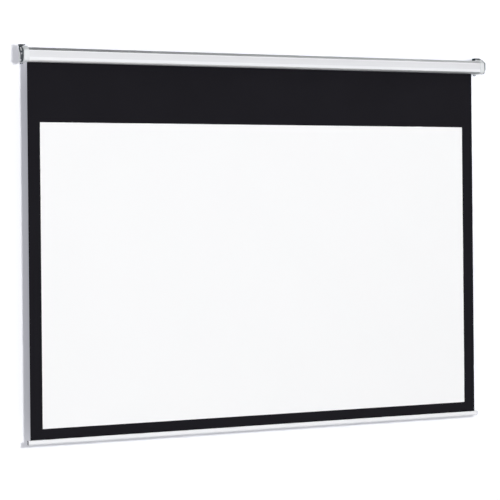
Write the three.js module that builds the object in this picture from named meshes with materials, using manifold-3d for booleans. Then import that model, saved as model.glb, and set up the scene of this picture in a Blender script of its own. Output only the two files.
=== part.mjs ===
// Electric roll-up projection screen, fully lowered, in millimetres
// A slim casing hangs between two steel end brackets and holds a motor-driven roller
// X runs along the casing, Y points at the wall, Z is up
// The origin lies on the wall, at mid-length, level with the roller's axis

import * as THREE from 'three';
import { mergeVertices } from 'three/addons/utils/BufferGeometryUtils.js';
import Module from 'manifold-3d';

const wasm = await Module();
wasm.setup();

// Picture and fabric
const pictureWidth = 1900;
const pictureShape = 16 / 10;
const sideBorder = 50;
const bottomBorder = 41.5;
const topDrop = 231.6;
const backingThickness = 0.3;
const surfaceThickness = 0.15;

// General clearances
const seatGap = 0.3;
const runningGap = 0.15;
const windingGap = 0.4;
const rollClearance = 0.7;
const cutOverrun = 2;

// Casing extrusion
const casingWall = 1.6;
const casingOverhang = 8.5;
const frontRoom = 14;
const shoulderDepth = 26;
const shoulderDrop = 12;
const sillDepth = 10;
const sillRise = 4;
const shoulderRadius = 2;
const sillRadius = 4;
const ridgeRadius = 3;
const backRadius = 2.5;
const slotRoom = 8;
const slotLipHeight = 4;
const portRadius = 3.6;
const portInset = 4.7;

// End caps
const capLength = 22.2;
const capProud = 2.5;
const capRise = 6;
const capBackRise = 1.2;
const capDrop = 3;
const capEndWall = 3;
const capRimRadius = 6.5;
const capFrontRadius = 8;
const capRidgeRadius = 12;
const capBackRadius = 4;
const capBossFloor = 2.4;

// End brackets, folded from one sheet
const bracketSheet = 2;
const bracketWidth = 24;
const bracketTopRise = 10.9;
const bracketTopReach = 22;
const bracketInset = 2;
const bracketChin = 12;
const tongueWidth = 11;
const tongueDrop = 5;
const frameWidth = 3.2;
const frontBarWidth = 18;
const strutWidth = 7.5;
const strutTopDepth = 8;
const strutKneeDepth = 16;
const strutKneeHeight = 18;
const strutFootDepth = 33;
const strutFootHeight = 4;
const wallHoleRadius = 2.2;
const wallHoleSpread = 9;
const wallHoleHeight = 20;
const wallHoleDrop = 3.3;
const topHoleSpread = 10;

// Roller
const tubeRadius = 19;
const tubeWall = 1.2;
const tubeOverhang = 1;
const spareTurns = 2;
const plugLength = 26;
const plugFlange = 1.4;
const plugFlangeLip = 1;
const idlePinRadius = 4;
const idlePinLength = 40;
const bushWall = 2;
const bushFlange = 1.2;
const bushFlangeLip = 3;
const bushLength = 6;

// Motor
const motorRadius = 15;
const motorLength = 420;
const motorHeadRadius = 22;
const motorHeadLength = 13;
const crownLength = 15;
const driveWheelLength = 14;
const driveShaftRadius = 5;
const driveShaftFlat = 4;
const driveShaftLength = 18;
const limitScrewRadius = 2;
const limitScrewLength = 7;
const limitScrewDepth = 5;
const limitScrewOffset = 6;
const limitScrewDrop = 8;
const limitScrewSpread = 7;
const limitSlotWidth = 0.8;
const limitSlotDepth = 1;
const accessHoleRadius = 3.2;

// Support plates
const plateThickness = 2;

// Screws
const capScrewRadius = 1.6;
const capScrewHeadRadius = 3;
const capScrewHeadHeight = 2;
const capScrewLength = 18;
const bracketScrewRadius = 2;
const bracketScrewHeadRadius = 4;
const bracketScrewHeadHeight = 2.4;
const bracketScrewLength = 13;
const bracketBossWall = 2;
const bracketBossLength = 12;
const motorScrewRadius = 1.5;
const motorScrewHeadRadius = 2.8;
const motorScrewHeadHeight = 1.8;
const motorScrewInset = 4;

// Cable inlet in the motor side's cap
const inletBore = 3.5;
const inletWall = 1.8;
const inletFlange = 3;
const inletFlangeThickness = 2;
const inletInside = 2.6;
const inletFromBack = 12;
const inletDrop = 4;

// Bottom rail
const railHeight = 18.5;
const railDepth = 15.4;
const railWall = 1.5;
const railFloor = 2.3;
const railSideWall = 3.9;
const railOverhang = 8.5;
const railTopRadius = 2;
const railFootRadius = 7.4;
const railSlotWidth = 1.8;
const hemRodRadius = 2.4;
const railRoofHeight = 3;
const railPlugFlange = 2.7;
const railPlugReach = 16;
const railPlugRound = 1.8;

// Facets
const roundSteps = 40;
const smallSteps = 20;
const cornerSteps = 5;
const rimSteps = 4;

// Derived fabric sizes
const pictureHeight = pictureWidth / pictureShape;
const fabricThickness = backingThickness + surfaceThickness;
const fabricHalf = pictureWidth / 2 + sideBorder;
const fabricVisible = topDrop + pictureHeight + bottomBorder;

// Derived roller and casing section, all measured from the wall
const rollInner = tubeRadius + seatGap;
const rollRadius = rollInner + spareTurns * fabricThickness;
const fullRollRadius = Math.sqrt(rollRadius ** 2 + (fabricVisible * fabricThickness) / Math.PI);
const casingBack = -(bracketSheet + seatGap);
const axisY = casingBack - casingWall - rollClearance - fullRollRadius;
const casingFront = axisY - fullRollRadius - frontRoom - casingWall;
const casingTop = fullRollRadius + rollClearance + casingWall;
const casingBottom = -casingTop;
const surfaceFront = axisY + rollRadius + windingGap;
const fabricFront = surfaceFront + surfaceThickness;
const fabricBack = fabricFront + backingThickness;
const slotFront = surfaceFront - slotRoom;
const pictureTop = casingBottom - topDrop;
const pictureBottom = pictureTop - pictureHeight;
const railTop = pictureBottom - bottomBorder;

// Derived places along the casing
const casingEnd = fabricHalf + casingOverhang;
const plateInner = casingEnd + seatGap;
const plateOuter = plateInner + plateThickness;
const capInner = casingEnd + seatGap;
const capOuter = capInner + capLength;
const capEndInner = capOuter - capEndWall;
const bossEnd = plateOuter + seatGap;
const cheekInner = capOuter + seatGap;
const cheekOuter = cheekInner + bracketSheet;
const bracketInner = cheekOuter - bracketWidth;
const tubeEnd = fabricHalf + tubeOverhang;
const tubeBore = tubeRadius - tubeWall;
const capTop = casingTop + capRise;
const capBottom = casingBottom - capDrop;
const bracketTop = casingTop + bracketTopRise + bracketSheet;
const bracketMiddle = (bracketInner + cheekInner) / 2;
const tongueInner = bracketMiddle - tongueWidth / 2;
const tongueOuter = bracketMiddle + tongueWidth / 2;

// Casing section corners as depth, height and corner radius
const casingCorners = [
  [casingFront, casingBottom + sillRise, sillRadius],
  [casingFront, casingTop - shoulderDrop, shoulderRadius],
  [casingFront + shoulderDepth, casingTop, ridgeRadius],
  [casingBack, casingTop, backRadius],
  [casingBack, casingBottom, backRadius],
  [casingFront + sillDepth, casingBottom, sillRadius],
];

// Cap section corners stand proud of the casing in front, above and below
const capCorners = [
  [casingFront - capProud, casingBottom + sillRise - capProud / 2, capFrontRadius],
  [casingFront - capProud, casingTop - shoulderDrop + capProud / 2, capFrontRadius],
  [casingFront + shoulderDepth - capProud, capTop, capRidgeRadius],
  [casingBack, casingTop + capBackRise, capBackRadius],
  [casingBack, capBottom, capBackRadius],
  [casingFront + sillDepth, capBottom, capRidgeRadius],
];

// Screw ports of the casing, named by their corner
const ports = {
  front_top: [casingFront + portInset, casingTop - shoulderDrop - portInset],
  front_bottom: [casingFront + portInset, casingBottom + sillRise + portInset],
  back_top: [casingBack - portInset, casingTop - portInset],
};

// Bracket screws pass the arm in front of the roller and below it
const bracketScrewRing = motorHeadRadius + bracketScrewRadius + bracketBossWall + 2 * seatGap;
const bracketScrewAngles = { upper: Math.PI * 0.98, lower: Math.PI * 1.33 };

// Finishes
function finish(color, roughness, metalness) {
  return { color, roughness, metalness };
}
const whiteCoat = finish(0xe9eaec, 0.35, 0.1);
const capPlastic = finish(0xe4e6e8, 0.45, 0);
const slateSteel = finish(0x3b464b, 0.5, 0.4);
const zincSteel = finish(0xb4b8bc, 0.35, 0.9);
const rawAluminium = finish(0xb9bcc0, 0.4, 0.85);
const blackFabric = finish(0x1c1b20, 0.95, 0);
const whiteFabric = finish(0xf6f6f7, 0.9, 0);
const greyPlastic = finish(0xd3d5d8, 0.5, 0);
const darkPlastic = finish(0x2c2e31, 0.55, 0);
const brassTone = finish(0xb59a5b, 0.4, 0.9);

const screen = new THREE.Group();
const sides = { left: -1, right: 1 };

// Turns a geometry into a closed mesh of shared vertices without slivers of no area
function weld(geometry) {
  const bare = new THREE.BufferGeometry();
  bare.setAttribute('position', geometry.getAttribute('position'));
  if (geometry.index) bare.setIndex(geometry.index);
  const merged = mergeVertices(bare);
  const kept = [];
  const index = merged.index.array;
  for (let i = 0; i < index.length; i += 3) {
    const [a, b, c] = [index[i], index[i + 1], index[i + 2]];
    if (a !== b && b !== c && c !== a) kept.push(a, b, c);
  }
  merged.setIndex(kept);
  return merged;
}

// Makes a solid for cutting and joining
function solid(geometry) {
  const closed = weld(geometry);
  const mesh = new wasm.Mesh({
    numProp: 3,
    vertProperties: new Float32Array(closed.getAttribute('position').array),
    triVerts: new Uint32Array(closed.index.array),
  });
  return new wasm.Manifold(mesh);
}

function join(...solids) {
  return solids.reduce((sum, next) => sum.add(next));
}

function cut(body, ...tools) {
  return tools.reduce((rest, tool) => rest.subtract(tool), body);
}

// Adds a named piece from a solid
function place(name, body, look) {
  const { vertProperties, triVerts } = body.getMesh();
  const geometry = new THREE.BufferGeometry();
  geometry.setAttribute('position', new THREE.BufferAttribute(vertProperties, 3));
  geometry.setIndex(new THREE.BufferAttribute(triVerts, 1));
  geometry.computeVertexNormals();
  const mesh = new THREE.Mesh(geometry, new THREE.MeshStandardMaterial(look));
  mesh.name = name;
  screen.add(mesh);
}

// Lays a section drawn in depth and height along the casing
function alongX(geometry, from) {
  const turn = new THREE.Matrix4().makeBasis(
    new THREE.Vector3(0, 1, 0),
    new THREE.Vector3(0, 0, 1),
    new THREE.Vector3(1, 0, 0),
  );
  return geometry.applyMatrix4(turn).translate(from, 0, 0);
}

// Moves each side of a convex outline inwards by a distance
function inset(corners, distance) {
  const lines = corners.map(([y, z], i) => {
    const [y2, z2] = corners[(i + 1) % corners.length];
    const length = Math.hypot(y2 - y, z2 - z);
    const [uy, uz] = [(y2 - y) / length, (z2 - z) / length];
    return { y: y + uz * distance, z: z - uy * distance, uy, uz };
  });
  return corners.map(([, , radius], i) => {
    const a = lines[(i + lines.length - 1) % lines.length];
    const b = lines[i];
    const t = ((b.y - a.y) * b.uz - (b.z - a.z) * b.uy) / (a.uy * b.uz - a.uz * b.uy);
    return [a.y + a.uy * t, a.z + a.uz * t, Math.max(radius - distance, 0)];
  });
}

// Rounds the corners of a convex outline with the same number of points at each
function rounded(corners) {
  const points = [];
  corners.forEach(([y, z, radius], i) => {
    const [py, pz] = corners[(i + corners.length - 1) % corners.length];
    const [ny, nz] = corners[(i + 1) % corners.length];
    const back = new THREE.Vector2(py - y, pz - z).normalize();
    const ahead = new THREE.Vector2(ny - y, nz - z).normalize();
    const half = Math.acos(THREE.MathUtils.clamp(back.dot(ahead), -1, 1)) / 2;
    const middle = back.clone().add(ahead).normalize();
    const centre = new THREE.Vector2(y, z).addScaledVector(middle, radius / Math.sin(half));
    const start = Math.atan2(-middle.y, -middle.x);
    const sweep = Math.PI - 2 * half;
    for (let k = 0; k <= cornerSteps; k += 1) {
      const angle = start + sweep * (0.5 - k / cornerSteps);
      points.push([centre.x + radius * Math.cos(angle), centre.y + radius * Math.sin(angle)]);
    }
  });
  return points;
}

// Straight length of a section between two places along the casing
function prism(points, from, to) {
  const shape = new THREE.Shape(points.map(([y, z]) => new THREE.Vector2(y, z)));
  const low = Math.min(from, to);
  const geometry = new THREE.ExtrudeGeometry(shape, { depth: Math.abs(to - from), bevelEnabled: false });
  return solid(alongX(geometry, low));
}

// Rectangular block between two corners
function block(x0, x1, y0, y1, z0, z1) {
  const geometry = new THREE.BoxGeometry(Math.abs(x1 - x0), Math.abs(y1 - y0), Math.abs(z1 - z0));
  return solid(geometry.translate((x0 + x1) / 2, (y0 + y1) / 2, (z0 + z1) / 2));
}

// Round bar along the casing
function rod(radius, from, to, y, z, steps = smallSteps) {
  const geometry = new THREE.CylinderGeometry(radius, radius, Math.abs(to - from), steps);
  return solid(geometry.rotateZ(Math.PI / 2).translate((from + to) / 2, y, z));
}

// Round bar along depth, for holes in the wall leg
function rodThroughWall(radius, from, to, x, z) {
  const geometry = new THREE.CylinderGeometry(radius, radius, Math.abs(to - from), smallSteps);
  return solid(geometry.translate(x, (from + to) / 2, z));
}

// Round bar along height, for holes in the top leg
function rodThroughTop(radius, from, to, x, y) {
  const geometry = new THREE.CylinderGeometry(radius, radius, Math.abs(to - from), smallSteps);
  return solid(geometry.rotateX(Math.PI / 2).translate(x, y, (from + to) / 2));
}

// Section through rings that share their number of points, closed at both ends
function loft(rings) {
  const positions = rings.flat(2);
  const count = rings[0].length;
  const index = [];
  for (let r = 0; r + 1 < rings.length; r += 1) {
    for (let i = 0; i < count; i += 1) {
      const a = r * count + i;
      const b = r * count + ((i + 1) % count);
      index.push(a, a + count, b, b, a + count, b + count);
    }
  }
  const lastRing = (rings.length - 1) * count;
  for (let i = 1; i + 1 < count; i += 1) {
    index.push(0, i, i + 1);
    index.push(lastRing, lastRing + i + 1, lastRing + i);
  }
  const geometry = new THREE.BufferGeometry();
  geometry.setAttribute('position', new THREE.Float32BufferAttribute(positions, 3));
  geometry.setIndex(index);
  return solid(geometry);
}

// Outline standing at one place along the casing
function ringAt(x, corners) {
  return rounded(corners).map(([y, z]) => [x, y, z]);
}

// Block of a section whose outer rim is rounded, growing outwards from one end
function domed(corners, inner, outer, radius) {
  const way = Math.sign(outer - inner);
  const rings = [ringAt(inner, corners)];
  for (let k = 0; k <= rimSteps; k += 1) {
    const angle = ((Math.PI / 2) * k) / rimSteps;
    const step = radius * (1 - Math.cos(angle));
    rings.push(ringAt(outer - way * radius * (1 - Math.sin(angle)), inset(corners, step)));
  }
  return loft(way > 0 ? rings : rings.reverse());
}

// Sizes of a pan-head screw
function screwSizes(radius, length, headRadius, headHeight) {
  return { radius, length, headRadius, headHeight };
}
const capScrew = screwSizes(capScrewRadius, capScrewLength, capScrewHeadRadius, capScrewHeadHeight);
const bracketScrew = screwSizes(
  bracketScrewRadius, bracketScrewLength, bracketScrewHeadRadius, bracketScrewHeadHeight,
);

// Pan-head screw along the casing, with its head towards the outside
function screw(sizes, seat, way, y, z) {
  const shank = rod(sizes.radius, seat - way * sizes.length, seat + (way * sizes.headHeight) / 2, y, z);
  const head = rod(sizes.headRadius, seat, seat + way * sizes.headHeight, y, z);
  return join(shank, head);
}

function casing() {
  const reach = casingEnd + cutOverrun;
  const shell = prism(rounded(casingCorners), -casingEnd, casingEnd);
  const room = prism(rounded(inset(casingCorners, casingWall)), -reach, reach);
  const slotBack = casingBack - casingWall;
  const slotTop = casingBottom + 2 * casingWall;
  const slot = block(-reach, reach, slotFront, slotBack, casingBottom - cutOverrun, slotTop);
  const lipBack = slotFront;
  const lipTop = casingBottom + slotLipHeight;
  const lip = block(-casingEnd, casingEnd, lipBack - casingWall, lipBack, casingBottom, lipTop);
  let body = join(cut(shell, room, slot), lip);
  for (const [y, z] of Object.values(ports)) {
    body = body.add(rod(portRadius, -casingEnd, casingEnd, y, z));
  }
  for (const [y, z] of Object.values(ports)) {
    body = body.subtract(rod(capScrewRadius + seatGap, -reach, reach, y, z));
  }
  place('casing', body, whiteCoat);
}

function bracketScrewPlaces() {
  return Object.entries(bracketScrewAngles).map(([name, angle]) => {
    const y = axisY + bracketScrewRing * Math.cos(angle);
    const z = bracketScrewRing * Math.sin(angle);
    return [name, y, z];
  });
}

function limitScrewPlaces() {
  const y = axisY + limitScrewOffset;
  return { up: [y, -limitScrewDrop], down: [y, -limitScrewDrop - limitScrewSpread] };
}

function endCap(side, way) {
  const inside = way * (capInner - cutOverrun);
  const outside = way * (capOuter + cutOverrun);
  const outer = domed(capCorners, way * capInner, way * capOuter, capRimRadius);
  const room = prism(rounded(inset(casingCorners, casingWall)), inside, way * capEndInner);
  let body = cut(outer, room);
  for (const [y, z] of Object.values(ports)) {
    const boss = rod(portInset, way * bossEnd, way * capOuter, y, z).intersect(outer);
    const headHole = rod(capScrewHeadRadius + seatGap, way * (bossEnd + capBossFloor), outside, y, z);
    const shankHole = rod(capScrewRadius + seatGap, inside, way * capOuter, y, z);
    body = cut(join(body, boss), headHole, shankHole);
  }
  const bossRadius = bracketScrewRadius + seatGap + bracketBossWall;
  const bossInner = way * (capEndInner - bracketBossLength);
  for (const [, y, z] of bracketScrewPlaces()) {
    const boss = rod(bossRadius, bossInner, way * capOuter, y, z).intersect(outer);
    body = cut(join(body, boss), rod(bracketScrewRadius + seatGap, inside, outside, y, z));
  }
  if (side === 'right') {
    body = cut(body, inletHole(way), ...limitAccessHoles(way));
  }
  place(`${side}_end_cap`, body, capPlastic);
}

function limitAccessHoles(way) {
  return Object.values(limitScrewPlaces()).map(([y, z]) =>
    rod(accessHoleRadius, way * (capEndInner - cutOverrun), way * (capOuter + cutOverrun), y, z),
  );
}

function inletPlace() {
  return [casingBack - inletFromBack, inletDrop];
}

function inletHole(way) {
  const [y, z] = inletPlace();
  const radius = inletBore + inletWall + seatGap;
  return rod(radius, way * (capEndInner - cutOverrun), way * (capOuter + cutOverrun), y, z);
}

function cableInlet(way) {
  const [y, z] = inletPlace();
  const inner = capEndInner - inletInside;
  const flangeInner = capOuter + seatGap;
  const flangeOuter = flangeInner + inletFlangeThickness;
  const neck = rod(inletBore + inletWall, way * inner, way * flangeOuter, y, z);
  const flange = rod(inletBore + inletWall + inletFlange, way * flangeInner, way * flangeOuter, y, z);
  const bore = rod(inletBore, way * (inner - cutOverrun), way * (flangeOuter + cutOverrun), y, z);
  place('cable_inlet', cut(join(neck, flange), bore), darkPlastic);
}

function capScrews(side, way) {
  const seat = way * (bossEnd + capBossFloor + seatGap);
  for (const [corner, [y, z]] of Object.entries(ports)) {
    place(`${side}_cap_screw_${corner}`, screw(capScrew, seat, way, y, z), zincSteel);
  }
}

function bracketScrews(side, way) {
  const seat = way * (cheekOuter + seatGap);
  for (const [name, y, z] of bracketScrewPlaces()) {
    place(`${side}_bracket_screw_${name}`, screw(bracketScrew, seat, way, y, z), zincSteel);
  }
}

function supportPlate(side, way, centreRadius) {
  const edge = rounded(inset(casingCorners, casingWall + seatGap));
  let body = prism(edge, way * plateInner, way * plateOuter);
  const [from, to] = [way * (plateInner - cutOverrun), way * (plateOuter + cutOverrun)];
  for (const [y, z] of Object.values(ports)) {
    body = body.subtract(rod(capScrewRadius + seatGap, from, to, y, z));
  }
  body = body.subtract(rod(centreRadius, from, to, axisY, 0, roundSteps));
  if (side === 'right') {
    for (const [y, z] of motorScrewPlaces()) {
      body = body.subtract(rod(motorScrewRadius + seatGap, from, to, y, z));
    }
  }
  place(`${side}_support_plate`, body, zincSteel);
}

// Bracket arm outline in depth and height, front edge first
function armOutline() {
  const held = inset(capCorners, bracketInset);
  const [frontLow, frontHigh, ridge, , , foot] = held;
  return [
    [frontLow[0], -bracketChin],
    [frontHigh[0], frontHigh[1]],
    [ridge[0], ridge[1]],
    [-bracketTopReach, bracketTop],
    [0, bracketTop],
    [0, bracketTop - frameWidth],
    [-strutTopDepth, bracketTop - frameWidth],
    [-strutKneeDepth, strutKneeHeight],
    [-strutFootDepth, strutFootHeight],
    [-strutFootDepth, capBottom],
    [foot[0], capBottom],
  ];
}

// Window that leaves a strut behind it and a bar in front
function armWindow() {
  const [, frontHigh, ridge] = inset(capCorners, bracketInset);
  return [
    [-strutFootDepth - strutWidth, strutFootHeight + strutWidth / 2],
    [frontHigh[0] + frontBarWidth, frontHigh[1]],
    [ridge[0] + frameWidth / 2, ridge[1] - frameWidth],
    [-strutTopDepth - 1.5 * strutWidth, bracketTop - 1.2 * frameWidth],
    [-strutKneeDepth - 1.5 * strutWidth, strutKneeHeight],
  ];
}

// Places of the wall screws, two behind the cap and one in the tongue
function wallHolePlaces() {
  const leg = (bracketInner + tongueOuter) / 2;
  return [
    [leg - wallHoleSpread / 2, wallHoleHeight],
    [leg + wallHoleSpread / 2, wallHoleHeight],
    [bracketMiddle, capBottom - tongueDrop + wallHoleDrop],
  ];
}

function bracket(side, way) {
  const arm = prism(armOutline(), way * cheekInner, way * cheekOuter);
  const window = prism(armWindow(), way * (cheekInner - cutOverrun), way * (cheekOuter + cutOverrun));
  const wallLeg = block(way * bracketInner, way * tongueOuter, -bracketSheet, 0, casingBottom, bracketTop);
  const wallRim = block(
    way * bracketInner, way * cheekOuter, -bracketSheet, 0, bracketTop - frameWidth, bracketTop,
  );
  const tongue = block(
    way * tongueInner, way * tongueOuter, -bracketSheet, 0, capBottom - tongueDrop, casingBottom + tongueDrop,
  );
  const topLow = bracketTop - bracketSheet;
  const topLeg = block(way * bracketInner, way * cheekOuter, -bracketTopReach, 0, topLow, bracketTop);
  let body = join(cut(arm, window), wallLeg, wallRim, tongue, topLeg);
  for (const [x, z] of wallHolePlaces()) {
    body = body.subtract(rodThroughWall(wallHoleRadius, -bracketSheet - cutOverrun, cutOverrun, way * x, z));
  }
  for (const sign of [-1, 1]) {
    const y = (-bracketTopReach + sign * topHoleSpread) / 2;
    const [low, high] = [topLow - cutOverrun, bracketTop + cutOverrun];
    body = body.subtract(rodThroughTop(wallHoleRadius, low, high, way * bracketMiddle, y));
  }
  for (const [, y, z] of bracketScrewPlaces()) {
    const [from, to] = [way * (cheekInner - cutOverrun), way * (cheekOuter + cutOverrun)];
    body = body.subtract(rod(bracketScrewRadius + seatGap, from, to, y, z));
  }
  place(`${side}_bracket`, body, slateSteel);
}

function roller() {
  const tube = rod(tubeRadius, -tubeEnd, tubeEnd, axisY, 0, roundSteps);
  const bore = rod(tubeBore, -tubeEnd - cutOverrun, tubeEnd + cutOverrun, axisY, 0, roundSteps);
  place('roller_tube', cut(tube, bore), rawAluminium);
  const wound = rod(rollRadius, -fabricHalf, fabricHalf, axisY, 0, roundSteps);
  const core = rod(rollInner, -fabricHalf - cutOverrun, fabricHalf + cutOverrun, axisY, 0, roundSteps);
  place('fabric_roll', cut(wound, core), blackFabric);
}

function idleEnd() {
  const inner = -tubeEnd + plugLength;
  const flangeInner = -tubeEnd - seatGap;
  const flangeOuter = flangeInner - plugFlange;
  const core = rod(tubeBore - seatGap, flangeOuter, inner, axisY, 0, roundSteps);
  const flange = rod(tubeBore + plugFlangeLip, flangeOuter, flangeInner, axisY, 0, roundSteps);
  const hole = rod(idlePinRadius + seatGap, flangeOuter - cutOverrun, inner + cutOverrun, axisY, 0);
  place('idle_plug', cut(join(core, flange), hole), darkPlastic);
  const pinOuter = -(plateOuter + bushLength);
  place('idle_pin', rod(idlePinRadius, pinOuter, pinOuter + idlePinLength, axisY, 0), zincSteel);
  const bushOuter = -(plateOuter + bushLength / 2);
  const bushRadius = idlePinRadius + runningGap + bushWall;
  const collarOuter = -(plateInner - seatGap);
  const collarInner = collarOuter + bushFlange;
  const bush = rod(bushRadius, bushOuter, collarInner, axisY, 0);
  const collar = rod(bushRadius + bushFlangeLip, collarOuter, collarInner, axisY, 0);
  const bore = rod(idlePinRadius + runningGap, bushOuter - cutOverrun, collarInner + cutOverrun, axisY, 0);
  place('idle_bush', cut(join(bush, collar), bore), brassTone);
  return bushRadius;
}

function motorScrewPlaces() {
  const ring = motorHeadRadius - motorScrewInset + seatGap;
  return [
    [axisY, ring],
    [axisY - ring, 0],
  ];
}

function motor() {
  const headInner = plateOuter + seatGap;
  const headOuter = headInner + motorHeadLength;
  let head = rod(motorHeadRadius, headInner, headOuter, axisY, 0, roundSteps);
  const [inside, outside] = [headInner - cutOverrun, headOuter + cutOverrun];
  for (const [y, z] of Object.values(limitScrewPlaces())) {
    head = head.subtract(rod(limitScrewRadius + runningGap, headOuter - limitScrewDepth, outside, y, z));
  }
  for (const [y, z] of motorScrewPlaces()) {
    head = head.subtract(rod(motorScrewRadius + seatGap, inside, outside, y, z));
  }
  place('motor_head', head, darkPlastic);
  const bodyOuter = headInner - seatGap;
  const bodyInner = bodyOuter - motorLength;
  place('motor_body', rod(motorRadius, bodyInner, bodyOuter, axisY, 0, roundSteps), zincSteel);
  const motorScrewLength = headOuter - plateInner;
  const motorScrew = screwSizes(
    motorScrewRadius, motorScrewLength, motorScrewHeadRadius, motorScrewHeadHeight,
  );
  motorScrewPlaces().forEach(([y, z], i) => {
    place(`motor_screw_${i + 1}`, screw(motorScrew, headOuter + seatGap, sides.right, y, z), zincSteel);
  });
  for (const [name, [y, z]] of Object.entries(limitScrewPlaces())) {
    const bottom = headOuter - limitScrewDepth + seatGap;
    const top = bottom + limitScrewLength;
    const stem = rod(limitScrewRadius, bottom, top, y, z);
    const nick = block(
      top - limitSlotDepth, top + cutOverrun, y - limitScrewRadius * 2, y + limitScrewRadius * 2,
      z - limitSlotWidth / 2, z + limitSlotWidth / 2,
    );
    place(`limit_screw_${name}`, cut(stem, nick), brassTone);
  }
  driveParts(bodyInner);
}

// Block that cuts everything above a height from a bar on the roller's axis
function flatCutter(from, to, height) {
  const reach = 2 * driveShaftRadius;
  return block(from, to, axisY - reach, axisY + reach, height, reach);
}

// Pieces that carry the motor's turn to the tube
function driveParts(bodyInner) {
  const shaftOuter = bodyInner - seatGap;
  const shaftInner = shaftOuter - driveShaftLength;
  const shaftBar = rod(driveShaftRadius, shaftInner, shaftOuter, axisY, 0);
  const shaftFlat = flatCutter(shaftInner - cutOverrun, shaftOuter + cutOverrun, driveShaftFlat);
  place('drive_shaft', cut(shaftBar, shaftFlat), zincSteel);
  const wheelOuter = shaftOuter - seatGap;
  const wheelInner = wheelOuter - driveWheelLength;
  const wheel = rod(tubeBore - seatGap, wheelInner, wheelOuter, axisY, 0, roundSteps);
  const [from, to] = [wheelInner - cutOverrun, wheelOuter + cutOverrun];
  const round = rod(driveShaftRadius + runningGap, from, to, axisY, 0);
  const holeFlat = flatCutter(from, to, driveShaftFlat + runningGap);
  place('drive_wheel', cut(wheel, cut(round, holeFlat)), darkPlastic);
  const crownOuter = tubeEnd + seatGap + plugFlange;
  const crownInner = tubeEnd - crownLength;
  const ring = rod(tubeBore - seatGap, crownInner, crownOuter, axisY, 0, roundSteps);
  const lip = rod(tubeBore + plugFlangeLip, tubeEnd + seatGap, crownOuter, axisY, 0, roundSteps);
  const [crownFrom, crownTo] = [crownInner - cutOverrun, crownOuter + cutOverrun];
  const hole = rod(motorRadius + seatGap, crownFrom, crownTo, axisY, 0, roundSteps);
  place('motor_crown', cut(join(ring, lip), hole), darkPlastic);
}

// Rail section corners around the fabric's plane
const railMiddle = fabricFront;
const railBottom = railTop - railHeight;
const railCorners = [
  [railMiddle - railDepth / 2, railBottom, railFootRadius],
  [railMiddle - railDepth / 2, railTop, railTopRadius],
  [railMiddle + railDepth / 2, railTop, railTopRadius],
  [railMiddle + railDepth / 2, railBottom, railFootRadius],
];
const railEnd = fabricHalf + railOverhang;
const hemPocketRadius = hemRodRadius + seatGap * 2;
const hemZ = railTop - railRoofHeight - hemPocketRadius;
const chamberTop = hemZ - hemPocketRadius - railWall;
const chamberBottom = railBottom + railFloor;
const chamberHalf = railDepth / 2 - railSideWall;

function rail() {
  const bar = prism(rounded(railCorners), -railEnd, railEnd);
  const reach = railEnd + cutOverrun;
  const pocket = rod(hemPocketRadius, -reach, reach, railMiddle, hemZ);
  const slit = block(
    -reach, reach, railMiddle - railSlotWidth / 2, railMiddle + railSlotWidth / 2, hemZ, railTop + cutOverrun,
  );
  const chamber = block(
    -reach, reach, railMiddle - chamberHalf, railMiddle + chamberHalf, chamberBottom, chamberTop,
  );
  place('bottom_rail', cut(bar, pocket, slit, chamber), whiteCoat);
  const rodEnd = fabricHalf;
  place('hem_rod', rod(hemRodRadius, -rodEnd, rodEnd, railMiddle, hemZ), zincSteel);
}

function railPlug(side, way) {
  const inner = railEnd + seatGap;
  const outer = inner + railPlugFlange;
  const face = domed(railCorners, way * inner, way * outer, railPlugRound);
  const half = chamberHalf - seatGap;
  const tongue = block(
    way * (railEnd - railPlugReach), way * (inner + railPlugFlange / 2), railMiddle - half, railMiddle + half,
    chamberBottom + seatGap, chamberTop - seatGap,
  );
  place(`${side}_rail_plug`, join(face, tongue), greyPlastic);
}

function fabric() {
  const hemTop = hemZ + hemRodRadius + seatGap;
  const backing = block(-fabricHalf, fabricHalf, fabricFront, fabricBack, hemTop, 0);
  place('fabric_backing', backing, blackFabric);
  const half = pictureWidth / 2;
  const surface = block(-half, half, surfaceFront, fabricFront, pictureBottom, pictureTop);
  place('viewing_surface', surface, whiteFabric);
}

casing();
const bushRadius = idleEnd();
supportPlate('left', sides.left, bushRadius + seatGap);
supportPlate('right', sides.right, motorRadius + seatGap);
for (const [side, way] of Object.entries(sides)) {
  endCap(side, way);
  capScrews(side, way);
  bracket(side, way);
  bracketScrews(side, way);
  railPlug(side, way);
}
roller();
motor();
cableInlet(sides.right);
rail();
fabric();

export default screen;
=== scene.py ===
"""Electric projection screen: its finishes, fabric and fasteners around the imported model, in metres"""
import functools
import math

import bmesh
import bpy
from bpy.props import FloatProperty, FloatVectorProperty, IntProperty, PointerProperty
from mathutils import Matrix, Vector


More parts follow.
